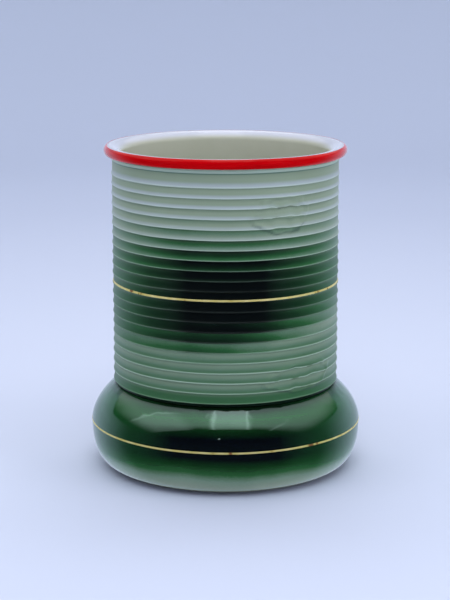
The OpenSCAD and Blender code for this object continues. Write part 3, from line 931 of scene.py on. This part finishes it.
def gildedLineTree(wear):
    # a ribbon laid on the glaze: rays find the surface, and the film is thickest along its middle
    tree, given = newTree("gildedLine", {
        "Surface": "Object", "Height": "Float", "Reach": "Float", "Width": "Float", "Film": "Float",
        "Sway": "Float", "Segments": "Int", "Across": "Int", "Seed": "Float", "Gold": "Material"})
    grid, across, angle, east, north = bendableGrid(tree, given["Segments"], given["Across"])
    south = addNode(tree, "Math", {0: north, 1: -1.0}, operation="MULTIPLY")
    swing, lift = overAndUnder(tree, across)
    outwards = addNode(tree, "CombineXYZ", {"X": east, "Y": south})
    brush = addNode(tree, "TexNoise", {"Vector": outwards, "W": given["Seed"], "Scale": 2.5,
        "Detail": 2.0}, noise_dimensions="4D")
    sway = addNode(tree, "MapRange", {"Value": brush.outputs["Fac"], "To Min": -1.0})
    sway = addNode(tree, "Math", {0: sway, 1: given["Sway"], 2: given["Height"]},
        operation="MULTIPLY_ADD")
    press = addNode(tree, "MapRange", {"Value": brush.outputs["Color"], "From Min": 0.3, "From Max": 0.7,
        "To Min": gold["press"][0], "To Max": gold["press"][1]})
    half = addNode(tree, "Math", {0: press, 1: given["Width"]}, operation="MULTIPLY")
    height = addNode(tree, "Math", {0: swing, 1: half, 2: sway}, operation="MULTIPLY_ADD")
    far = addNode(tree, "VectorMath", {0: outwards, "Scale": given["Reach"]}, operation="SCALE")
    level = addNode(tree, "CombineXYZ", {"Z": height})
    begin = addNode(tree, "VectorMath", {0: far, 1: level}, operation="ADD")
    inwards = addNode(tree, "VectorMath", {0: outwards, "Scale": -1.0}, operation="SCALE")
    surface = addNode(tree, "GeometryNodeObjectInfo", {"Object": given["Surface"]},
        transform_space="RELATIVE")
    ray = addNode(tree, "GeometryNodeRaycast", {"Target Geometry": surface.outputs["Geometry"],
        "Source Position": begin, "Ray Direction": inwards, "Ray Length": gold["rayLength"]})
    thick = addNode(tree, "Math", {0: lift, 1: gold["edgeFilm"]}, operation="ADD")
    film = addNode(tree, "Math", {0: thick, 1: given["Film"]}, operation="MULTIPLY")
    film = addNode(tree, "Math", {0: film, 1: given["Film"]}, operation="MINIMUM")
    for degrees, length in wear:
        # where it is worn, the film dips under the glaze
        aside = addNode(tree, "Math", {0: angle, 1: math.radians(degrees)}, operation="SUBTRACT")
        aside = addNode(tree, "Math", {0: aside}, operation="ABSOLUTE")
        span = length * mm / (2 * lipRadius)
        worn = addNode(tree, "MapRange", {"Value": aside, "From Min": span, "From Max": span * 0.5,
            "To Max": gold["wornDip"]})
        patchy = addNode(tree, "Math", {0: brush.outputs["Fac"], 1: worn}, operation="MULTIPLY")
        dip = addNode(tree, "Math", {0: patchy, 1: given["Film"]}, operation="MULTIPLY")
        film = addNode(tree, "Math", {0: film, 1: dip}, operation="SUBTRACT")
    lifted = addNode(tree, "VectorMath", {0: outwards, "Scale": film}, operation="SCALE")
    laid = addNode(tree, "VectorMath", {0: ray.outputs["Hit Position"], 1: lifted}, operation="ADD")
    bent = addNode(tree, "GeometryNodeSetPosition", {"Geometry": grid, "Position": laid})
    closeTree(tree, bent, given["Gold"])
    return tree


def gild(name, surface, height, wear, seed):
    return grow(name, gildedLineTree(wear), {
        "Surface": surface, "Height": height, "Reach": bellyRadius + 5 * mm, "Width": gold["width"] * mm,
        "Film": gold["film"] * mm, "Sway": gold["sway"] * mm, "Segments": gold["segments"],
        "Across": gold["across"], "Seed": seed, "Gold": goldLustre})


upperHeight = firstLip + ((gold["rib"] - 1) * sleeve["pitch"] + gold["rise"]) * mm
upperGold = gild("upperGoldLine", sleevePiece, upperHeight, gold["upperWear"], 1.0)
lowerGold = gild("lowerGoldLine", basePiece, bellyHeight, gold["lowerWear"], 8.0)

for piece, node, slot in (
        (sleevePiece, "ribbed_sleeve", "sleeve_glaze"), (basePiece, "base_bulb", "base_glaze"),
        (floorPiece, "base_floor", "white_glaze"), (footPiece, "foot_ring", "bare_clay"),
        (rimPiece, "rim_roll", "white_glaze"), (enamelPiece, "rim_enamel", "red_enamel"),
        (linerPiece, "liner_glaze", "white_glaze"), (upperGold, "upper_gold_line", "gold_lustre"),
        (lowerGold, "lower_gold_line", "gold_lustre")):
    place(piece, node)


studio = {
    "dishRadius": 1.25, "dishRise": 1.6, "dishCurve": 0.5,     # m
    # painted light falloff over the paper
    "paperFalloff": [(0, "#CDD5E7"), (0.38, "#C2CBDF"), (1, "#C6D0E3")], "paperReach": (0.15, 1.2),
    "tooth": 0.8, "toothDepth": 0.02,         # mm
    "roofHeight": 0.5,                        # m above the table
    "roofX": (-1.4, 1.15), "roofY": (-0.385, 0.85),
    "roofGlow": 1.25, "roofColour": "#F3F4FB",
    "panelMiddle": (0.022, 0.045),            # m over the cup, and m more for each m towards the front
    "panelHalf": (0.072, 0.170), "panelLeast": 0.02, "seamShare": 0.95,
    "crimp": (0.452, 0.18), "fold": (-0.113, -0.246),       # m, and slope
    # what each fade follows, where it starts and ends in m or shares of the strip, its values there
    "roofFades": {
        "strip": ("share", 1.25, 1.0, 0, 0.9, "LINEAR"),
        "seam": ("fromSeam", 0.12, 0.04, 0, 0.9, "LINEAR"),
        "crimp": ("fromCrimp", 0.016, 0.006, 0, 1, "LINEAR"),
        "crimpEnd": ("forth", 0.10, 0.30, 0, 0.8, "LINEAR"),
        "dim": ("aside", 0.15, 1.25, 0.72, 0.40, "LINEAR"),
        "softness": ("aside", 0.3, 1.2, 0.10, 0.5, "LINEAR"),
        "folded": ("fold", 0, 0.01, 0, 0.35, "LINEAR"),
        "foldLine": ("fromFold", 0.022, 0.010, 0, 0.75, "LINEAR"),
        "isLeft": ("across", -0.22, -0.32, 0, 1, "LINEAR"),
        "ends": ("aside", 1.15, 0.6, 0, 1, "SMOOTHSTEP"),
        "edge": ("front", 0, 0.16, 0.55, 1, "LINEAR"),
    },
    "cardRadius": 0.042, "cardHeight": 0.2,   # m and mm
    "sky": "#D2DEFA", "skyStrength": 1.0, "frontDark": 0.02,
    "lampColour": "#F3F4FA", "lampsAimAt": (0, 0, 0.06),
    # name: where it hangs, its size in m, its power in W
    "lamps": {"overheadFill": ((0.0, -0.80, 0.85), (0.5, 0.5), 2.7),
              "rearFill": ((0.0, 0.65, 1.30), (1.6, 0.6), 7.0),
              "rightCloth": ((0.60, -0.35, 0.22), (0.5, 0.4), 2.2),
              "leftCloth": ((-0.60, -0.35, 0.22), (0.5, 0.4), 1.3)},
}


def makePaper():
    # matte pale blue paper with a faint tooth, and a painted light falloff that grades it darker away from
    # the cup
    material, tree, shader = newMaterial("paleBluePaper", {"Roughness": 0.9, "Specular IOR Level": 0.1})
    spot = addNode(tree, "TexCoord").outputs["Object"]
    away = addNode(tree, "VectorMath", {0: spot}, operation="LENGTH")
    far = addNode(tree, "MapRange", {"Value": away.outputs["Value"], "From Min": studio["paperReach"][0],
        "From Max": studio["paperReach"][1]})
    ramp = addNode(tree, "ValToRGB", {"Fac": far})
    setStops(ramp, studio["paperFalloff"], "LINEAR")
    tooth = addNode(tree, "TexNoise", {"Vector": spot, "Scale": 1 / (studio["tooth"] * mm),
        "Detail": 2.0})
    bump = addNode(tree, "Bump", {"Height": tooth.outputs["Fac"], "Distance": studio["toothDepth"] * mm})
    tree.links.new(ramp.outputs["Color"], shader.inputs["Base Color"])
    tree.links.new(bump.outputs["Normal"], shader.inputs["Normal"])
    return material


def makeDish():
    # floor that curves up into a wall all round
    radius, curve = studio["dishRadius"], studio["dishCurve"]
    flat = radius - curve
    bend = [math.radians(a) for a in steps(0, 90, 18)[1:]]
    outline = [(0, 0), (flat, 0)]
    outline += [(flat + curve * math.sin(a), curve - curve * math.cos(a)) for a in bend]
    outline += [(radius, studio["dishRise"])]
    rings = 96
    mesh = bpy.data.meshes.new("backdrop")
    points = [(0, 0, 0)]
    faces = []
    for k, (r, z) in enumerate(outline[1:]):
        for i in range(rings):
            a = 2 * math.pi * i / rings
            points.append((r * math.cos(a), r * math.sin(a), z))
            j = (i + 1) % rings
            if k == 0:
                faces.append((0, 1 + i, 1 + j))
            else:
                low, high = 1 + (k - 1) * rings, 1 + k * rings
                faces.append((low + i, high + i, high + j, low + j))
    mesh.from_pydata(points, [], faces)
    mesh.shade_smooth()
    mesh.materials.append(makePaper())
    dish = bpy.data.objects.new("backdrop", mesh)
    bpy.context.scene.collection.objects.link(dish)
    dish.visible_glossy = False


def makeSky():
    # the tent's walls as the gloss sees them: bright behind, dark towards the front
    world = bpy.data.worlds.new("tent")
    bpy.context.scene.world = world
    world.use_nodes = True
    tree = world.node_tree
    tree.nodes.clear()
    way = addNode(tree, "TexCoord").outputs["Generated"]
    parts = addNode(tree, "SeparateXYZ", {0: way})
    bright = addNode(tree, "MapRange", {"Value": parts.outputs["Y"], "From Min": -0.05, "From Max": 0.85,
        "To Min": studio["frontDark"]}, interpolation_type="SMOOTHSTEP")
    low = addNode(tree, "MapRange", {"Value": parts.outputs["Z"], "From Min": 0.55, "From Max": 0.12,
        "To Min": 0.12})
    bright = addNode(tree, "Math", {0: bright, 1: low}, operation="MULTIPLY")
    strength = addNode(tree, "Math", {0: bright, 1: studio["skyStrength"]}, operation="MULTIPLY")
    glow = addNode(tree, "Background", {"Color": linear(studio["sky"]), "Strength": strength})
    addNode(tree, "OutputWorld", {"Surface": glow})


def makeRoof():
    # the tent's lit roof: even cloth, a brighter strip over the cup between two seams, dimmer far out
    mesh = bpy.data.meshes.new("roofCloth")
    (left, right), (front, back) = studio["roofX"], studio["roofY"]
    height = studio["roofHeight"]
    mesh.from_pydata([(left, front, height), (left, back, height), (right, back, height),
                      (right, front, height)], [], [(0, 1, 2, 3)])
    material, tree, light = newMaterial("litRoofCloth", {"Color": linear(studio["roofColour"])}, "Emission")
    spot = addNode(tree, "TexCoord").outputs["Object"]
    across, deep = [addNode(tree, "SeparateXYZ", {0: spot}).outputs[axis] for axis in "XY"]
    forth = addNode(tree, "Math", {0: deep, 1: -1.0}, operation="MULTIPLY")
    # the strip, its seams, and a narrow fold to the right that catches the light
    middle, half = [addNode(tree, "Math", {0: forth, 1: studio[label][1], 2: studio[label][0]},
                            operation="MULTIPLY_ADD") for label in ("panelMiddle", "panelHalf")]
    half = addNode(tree, "Math", {0: half, 1: studio["panelLeast"]}, operation="MAXIMUM")
    aside = addNode(tree, "Math", {0: across, 1: middle}, operation="SUBTRACT")
    aside = addNode(tree, "Math", {0: aside}, operation="ABSOLUTE")
    share = addNode(tree, "Math", {0: aside, 1: half}, operation="DIVIDE")
    seam = addNode(tree, "Math", {0: share, 1: studio["seamShare"]}, operation="SUBTRACT")
    crimp = addNode(tree, "Math", {0: forth, 1: studio["crimp"][1], 2: across}, operation="MULTIPLY_ADD")
    crimp = addNode(tree, "Math", {0: crimp, 1: studio["crimp"][0]}, operation="SUBTRACT")
    # the front edge, and a taut fold along the left
    front = addNode(tree, "Math", {0: deep, 1: studio["roofY"][0]}, operation="SUBTRACT")
    fold = addNode(tree, "Math", {0: across, 1: studio["fold"][1], 2: studio["fold"][0]},
        operation="MULTIPLY_ADD")
    fold = addNode(tree, "Math", {0: fold, 1: deep}, operation="SUBTRACT")
    follows = {"across": across, "forth": forth, "aside": aside, "share": share, "front": front, "fold": fold}
    for label, line in (("fromSeam", seam), ("fromCrimp", crimp), ("fromFold", fold)):
        follows[label] = addNode(tree, "Math", {0: line}, operation="ABSOLUTE")
    fades = {}
    for name, (source, start, end, low, high, shape) in studio["roofFades"].items():
        fades[name] = addNode(tree, "MapRange", {"Value": follows[source], "From Min": start,
            "From Max": end, "To Min": low, "To Max": high}, interpolation_type=shape)

    seams = addNode(tree, "Math", {0: fades["crimp"], 1: fades["crimpEnd"], 2: fades["seam"]},
        operation="MULTIPLY_ADD")
    bright = addNode(tree, "Math", {0: fades["strip"], 1: seams}, operation="ADD")
    bright = addNode(tree, "Math", {0: bright, 1: fades["edge"]}, operation="MULTIPLY")
    # the cloth sags at its front edge away from the middle, so its light ends softly there
    soft = addNode(tree, "Math", {0: front, 1: fades["softness"]}, operation="DIVIDE", use_clamp=True)
    even = addNode(tree, "Math", {0: fades["dim"], 1: soft}, operation="MULTIPLY")
    folded = addNode(tree, "Math", {0: fades["folded"], 1: fades["foldLine"]}, operation="ADD")
    even = addNode(tree, "Math", {0: folded, 1: fades["isLeft"], 2: even}, operation="MULTIPLY_ADD")
    glow = addNode(tree, "Math", {0: even, 1: fades["ends"], 2: bright}, operation="MULTIPLY_ADD")
    glow = addNode(tree, "Math", {0: glow, 1: studio["roofGlow"]}, operation="MULTIPLY")
    tree.links.new(glow.outputs[0], light.inputs["Strength"])
    mesh.materials.append(material)
    roof = bpy.data.objects.new("roofCloth", mesh)
    bpy.context.scene.collection.objects.link(roof)
    roof.visible_camera = False
    roof.visible_shadow = False


def makeShadowCard():
    # a black disc that only the gloss sees: the shade between the cup and the table
    mesh = bpy.data.meshes.new("shadowCard")
    sides, radius = 64, studio["cardRadius"]
    turns = [2 * math.pi * i / sides for i in range(sides)]
    mesh.from_pydata([(radius * math.cos(a), radius * math.sin(a), studio["cardHeight"] * mm) for a in turns],
                     [], [tuple(range(sides))])
    black = {"Base Color": (0, 0, 0, 1), "Specular IOR Level": 0.0}
    mesh.materials.append(newMaterial("blackCard", black)[0])
    card = bpy.data.objects.new("shadowCard", mesh)
    bpy.context.scene.collection.objects.link(card)
    for ray in ("camera", "diffuse", "shadow", "transmission"):
        setattr(card, "visible_" + ray, False)


def makeLamp(name, where, size, power):
    # soft light that leaves no reflection in the glaze
    lamp = bpy.data.lights.new(name, "AREA")
    lamp.shape = "RECTANGLE"
    lamp.size, lamp.size_y = size
    lamp.energy = power
    lamp.color = linear(studio["lampColour"])[:3]
    holder = bpy.data.objects.new(name, lamp)
    holder.location = where
    aim = Vector(studio["lampsAimAt"]) - holder.location
    holder.rotation_euler = aim.to_track_quat("-Z", "Y").to_euler()
    holder.visible_camera = False
    holder.visible_glossy = False
    bpy.context.scene.collection.objects.link(holder)


view = {
    "distance": 608.3,       # mm from the axis
    "height": 192.0,         # mm above the table
    "down": 12.33,           # degrees
    "aside": -0.15,          # mm
    "lens": 105.1, "sensor": 36.0,
}


def makeCamera():
    data = bpy.data.cameras.new("camera")
    data.lens, data.sensor_width = view["lens"], view["sensor"]
    data.clip_start, data.clip_end = 0.01, 20
    camera = bpy.data.objects.new("camera", data)
    camera.location = (view["aside"] * mm, -view["distance"] * mm, view["height"] * mm)
    camera.rotation_euler = (math.radians(90 - view["down"]), 0, 0)
    bpy.context.scene.collection.objects.link(camera)
    bpy.context.scene.camera = camera


makeDish()
makeSky()
makeRoof()
makeShadowCard()
for lampName, (lampPlace, lampSize, lampPower) in studio["lamps"].items():
    makeLamp(lampName, lampPlace, lampSize, lampPower)
makeCamera()
bpy.context.scene.view_settings.view_transform = "Standard"
print("stage ready")
